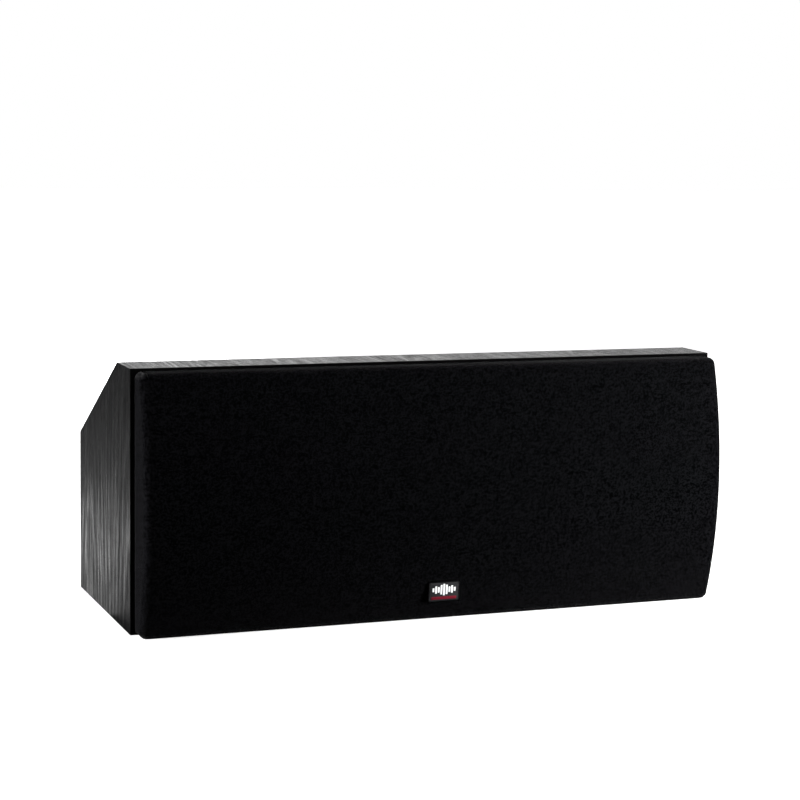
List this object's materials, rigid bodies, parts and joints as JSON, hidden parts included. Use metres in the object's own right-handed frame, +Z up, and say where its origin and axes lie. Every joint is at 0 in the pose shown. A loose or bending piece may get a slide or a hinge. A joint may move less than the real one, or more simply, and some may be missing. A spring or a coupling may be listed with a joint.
{
  "type": "center channel speaker",
  "caption": "Low, wide home-cinema centre loudspeaker with a sloped rear top, cone woofers either side of a dome tweeter, a bowed pull-off cloth grille and screw terminals in the back.",
  "frame": {"origin": "on the floor, under the middle of the whole speaker with its grille on", "axes": "+X to the listener's right, -Y is the front with the grille, +Z up"},
  "size_m": [0.457, 0.1994, 0.1905],
  "materials": {
    "black_ash": "black wood-grain vinyl on board, satin",
    "baffle_board": "board painted matt black",
    "wadding": "loose polyester wadding",
    "grille_moulding": "black moulded plastic, matt",
    "grille_cloth": "black knitted cloth, fine and matt",
    "badge": "dark frame round a black enamelled field",
    "soft_rubber": "soft black rubber",
    "basket_steel": "pressed steel, satin black paint",
    "surround_rubber": "black rubber, satin",
    "foam_gasket": "black foam",
    "cone": "dark moulded cone, satin",
    "dust_cap": "dark moulded cap, satin",
    "copper": "enamelled copper wire",
    "spider_cloth": "resin-stiffened cloth",
    "plated_steel": "zinc-plated steel",
    "ferrite": "dark grey ferrite",
    "black_screws": "blackened steel",
    "faceplate": "black moulded plate, fine satin",
    "silk": "coated black silk",
    "cup_moulding": "black moulded plastic, fine texture",
    "gilt_brass": "gilt brass",
    "red_knob": "red moulded plastic",
    "black_knob": "black moulded plastic",
    "circuit_board": "brown circuit board",
    "capacitor_sleeve": "dark blue sleeve",
    "film_capacitor": "yellow moulded case",
    "cement": "white cement case",
    "tag_strip": "brown fibre strip with tinned tags",
    "lead_sleeve": "dark flexible sleeve"
  },
  "bodies": {
    "cabinet": {"left_end_panel": "black_ash", "right_end_panel": "black_ash", "top_panel": "black_ash", "sloped_rear_panel": "black_ash", "rear_panel": "black_ash", "bottom_panel": "black_ash", "front_baffle": "baffle_board", "damping_wadding": "wadding", "grille_sockets": "soft_rubber", "left_woofer_basket": "basket_steel", "left_woofer_surround": "surround_rubber", "left_woofer_gasket": "foam_gasket", "left_woofer_spider": "spider_cloth", "left_woofer_top_plate": "plated_steel", "left_woofer_yoke": "plated_steel", "left_woofer_magnet": "ferrite", "right_woofer_basket": "basket_steel", "right_woofer_surround": "surround_rubber", "right_woofer_gasket": "foam_gasket", "right_woofer_spider": "spider_cloth", "right_woofer_top_plate": "plated_steel", "right_woofer_yoke": "plated_steel", "right_woofer_magnet": "ferrite", "woofer_screws": "black_screws", "tweeter_screws": "black_screws", "terminal_screws": "black_screws", "tweeter_faceplate": "faceplate", "tweeter_top_plate": "plated_steel", "tweeter_yoke": "plated_steel", "tweeter_magnet": "ferrite", "terminal_cup": "cup_moulding", "terminal_gasket": "foam_gasket", "red_post": "gilt_brass", "black_post": "gilt_brass", "post_nuts": "gilt_brass", "crossover_board": "circuit_board", "low_pass_choke": "copper", "high_pass_choke": "copper", "low_pass_capacitor": "capacitor_sleeve", "high_pass_capacitor": "film_capacitor", "tweeter_resistor": "cement", "left_woofer_terminals": "tag_strip", "right_woofer_terminals": "tag_strip", "tweeter_terminals": "tag_strip", "left_woofer_lead": "lead_sleeve", "right_woofer_lead": "lead_sleeve", "tweeter_lead": "lead_sleeve"},
    "grille": {"grille_frame": "grille_moulding", "grille_cloth": "grille_cloth", "grille_badge": "badge"},
    "left_cone": {"left_woofer_cone": "cone", "left_woofer_dust_cap": "dust_cap", "left_woofer_voice_coil": "copper"},
    "right_cone": {"right_woofer_cone": "cone", "right_woofer_dust_cap": "dust_cap", "right_woofer_voice_coil": "copper"},
    "tweeter_diaphragm": {"tweeter_dome": "silk", "tweeter_voice_coil": "copper"},
    "red_knob": {"red_knob": "red_knob"},
    "black_knob": {"black_knob": "black_knob"}
  },
  "joints": [
    {"name": "grille_pull", "type": "slide", "parent": "cabinet", "child": "grille", "axis": [0, -1, 0], "range_m": [0, 0.06]},
    {"name": "left_woofer_travel", "type": "slide", "parent": "cabinet", "child": "left_cone", "axis": [0, -1, 0], "range_m": [-0.004, 0.004], "stiffness_N_per_m": 1000, "deforming": ["left_woofer_surround", "left_woofer_spider"]},
    {"name": "right_woofer_travel", "type": "slide", "parent": "cabinet", "child": "right_cone", "axis": [0, -1, 0], "range_m": [-0.004, 0.004], "stiffness_N_per_m": 1000, "deforming": ["right_woofer_surround", "right_woofer_spider"]},
    {"name": "tweeter_travel", "type": "slide", "parent": "cabinet", "child": "tweeter_diaphragm", "axis": [0, -1, 0], "range_m": [-0.0003, 0.0003], "stiffness_N_per_m": 2000, "deforming": ["tweeter_dome"]},
    {"name": "red_knob_turn", "type": "hinge", "parent": "cabinet", "child": "red_knob", "pos_m": [-0.0095, 0.09025, 0.0615], "axis": [0, 1, 0], "range_deg": [0, 1440]},
    {"name": "black_knob_turn", "type": "hinge", "parent": "cabinet", "child": "black_knob", "pos_m": [0.0095, 0.09025, 0.0615], "axis": [0, 1, 0], "range_deg": [0, 1440]}
  ]
}
